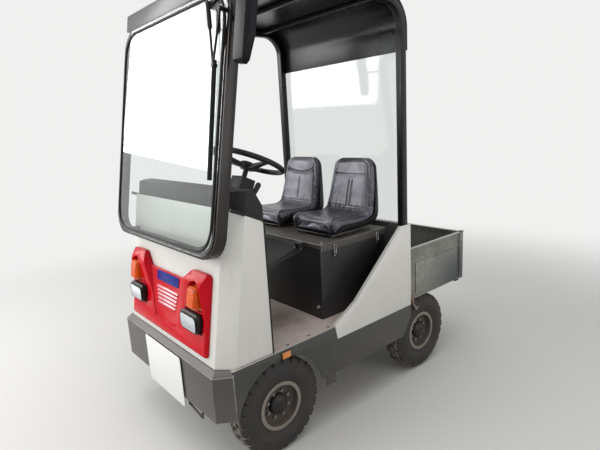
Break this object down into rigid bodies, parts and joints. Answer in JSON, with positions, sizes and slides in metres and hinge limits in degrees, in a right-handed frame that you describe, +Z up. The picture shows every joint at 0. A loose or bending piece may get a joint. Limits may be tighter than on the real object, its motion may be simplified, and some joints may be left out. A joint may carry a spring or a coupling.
{
  "type": "airport baggage tug",
  "caption": "Small electric baggage tug: open cab for a driver and passenger under a roof, tall leaning windscreen, red lamp panel, seat box over the battery, load bed and towing jaw.",
  "frame": {"origin": "on the ground under the centre of the bounding box", "axes": "+X forward, +Y to the vehicle's left where the driver sits, +Z up"},
  "size_m": [1.942, 1.33, 2.134],
  "materials": {
    "anthracite": "satin",
    "worn_floor": "worn matt",
    "off_white": "satin",
    "red_plastic": "gloss",
    "lamp_housing": "matt with a clear lens",
    "amber_lens": "gloss",
    "blank_plate": "satin",
    "black_paint": "gloss",
    "black_gloss": "high gloss",
    "clear_glass": "clear",
    "black_steel": "satin",
    "black_plastic": "grained",
    "black_rubber": "matt",
    "box_black": "satin",
    "battery_grey": "matt",
    "bed_steel": "worn matt",
    "galvanised": "dull zinc",
    "red_lens": "gloss",
    "axle_iron": "rough",
    "black_vinyl": "satin vinyl",
    "rim_silver": "dusty satin",
    "tyre_rubber": "dusty matt"
  },
  "bodies": {
    "chassis": {"chassis_frame": "anthracite", "front_bumper": "anthracite", "side_skirts": "anthracite", "floor_plate": "worn_floor", "front_apron": "off_white", "front_fascia": "red_plastic", "headlamps": "lamp_housing", "amber_lamps": "amber_lens", "number_plate": "blank_plate", "windscreen_frame": "black_paint", "windscreen_glass": "clear_glass", "wiper": "black_steel", "dashboard": "black_plastic", "steering_column": "black_plastic", "pedals": "black_rubber", "side_panels": "off_white", "battery_box": "box_black", "battery_pack": "battery_grey", "roof_frame": "black_paint", "roof_skin": "black_gloss", "rear_window": "clear_glass", "load_bed": "bed_steel", "bed_sides": "galvanised", "rear_lamps": "red_lens", "mirrors": "black_plastic", "front_axle": "axle_iron", "rear_axle": "axle_iron", "tow_coupling": "axle_iron"},
    "seat_deck": {"seat_lid": "box_black", "seat_shells": "black_plastic", "seat_left": "black_vinyl", "seat_right": "black_vinyl"},
    "tailgate": {"tailgate": "galvanised"},
    "steering_wheel": {"steering_wheel": "black_plastic"},
    "knuckle_left": {"knuckle_left": "axle_iron"},
    "knuckle_right": {"knuckle_right": "axle_iron"},
    "track_rod": {"track_rod": "axle_iron"},
    "wheel_front_left": {"rim_front_left": "rim_silver", "tyre_front_left": "tyre_rubber"},
    "wheel_front_right": {"rim_front_right": "rim_silver", "tyre_front_right": "tyre_rubber"},
    "wheel_rear_left": {"rim_rear_left": "rim_silver", "tyre_rear_left": "tyre_rubber"},
    "wheel_rear_right": {"rim_rear_right": "rim_silver", "tyre_rear_right": "tyre_rubber"}
  },
  "joints": [
    {"name": "steering_wheel_turn", "type": "hinge", "parent": "chassis", "child": "steering_wheel", "pos_m": [0.519, 0.22, 1.357], "axis": [-0.4226, 0, 0.9063], "range_deg": [-540, 540]},
    {"name": "steer_left", "type": "hinge", "parent": "chassis", "child": "knuckle_left", "pos_m": [0.631, 0.37, 0.233], "axis": [0, 0, 1], "range_deg": [-30, 30]},
    {"name": "steer_right", "type": "hinge", "parent": "chassis", "child": "knuckle_right", "pos_m": [0.631, -0.37, 0.233], "axis": [0, 0, 1], "range_deg": [-30, 30]},
    {"name": "track_rod_pivot", "type": "hinge", "parent": "knuckle_left", "child": "track_rod", "pos_m": [0.501, 0.37, 0.178], "axis": [0, 0, 1], "range_deg": [-30, 30]},
    {"name": "seat_deck_tilt", "type": "hinge", "parent": "chassis", "child": "seat_deck", "pos_m": [0.275, 0, 0.908], "axis": [0, 1, 0], "range_deg": [0, 50]},
    {"name": "tailgate_drop", "type": "hinge", "parent": "chassis", "child": "tailgate", "pos_m": [-0.899, 0, 0.512], "axis": [0, -1, 0], "range_deg": [0, 90]},
    {"name": "roll_front_left", "type": "hinge", "parent": "knuckle_left", "child": "wheel_front_left", "pos_m": [0.631, 0.45, 0.233], "axis": [0, 1, 0], "continuous": true},
    {"name": "roll_front_right", "type": "hinge", "parent": "knuckle_right", "child": "wheel_front_right", "pos_m": [0.631, -0.45, 0.233], "axis": [0, 1, 0], "continuous": true},
    {"name": "roll_rear_left", "type": "hinge", "parent": "chassis", "child": "wheel_rear_left", "pos_m": [-0.469, 0.45, 0.233], "axis": [0, 1, 0], "continuous": true},
    {"name": "roll_rear_right", "type": "hinge", "parent": "chassis", "child": "wheel_rear_right", "pos_m": [-0.469, -0.45, 0.233], "axis": [0, 1, 0], "continuous": true}
  ],
  "couplings": [
    {"joint": "steer_left", "follows": "steering_wheel_turn", "ratio": 0.055556},
    {"joint": "steer_right", "follows": "steering_wheel_turn", "ratio": 0.055556},
    {"joint": "track_rod_pivot", "follows": "steering_wheel_turn", "ratio": -0.055556}
  ]
}
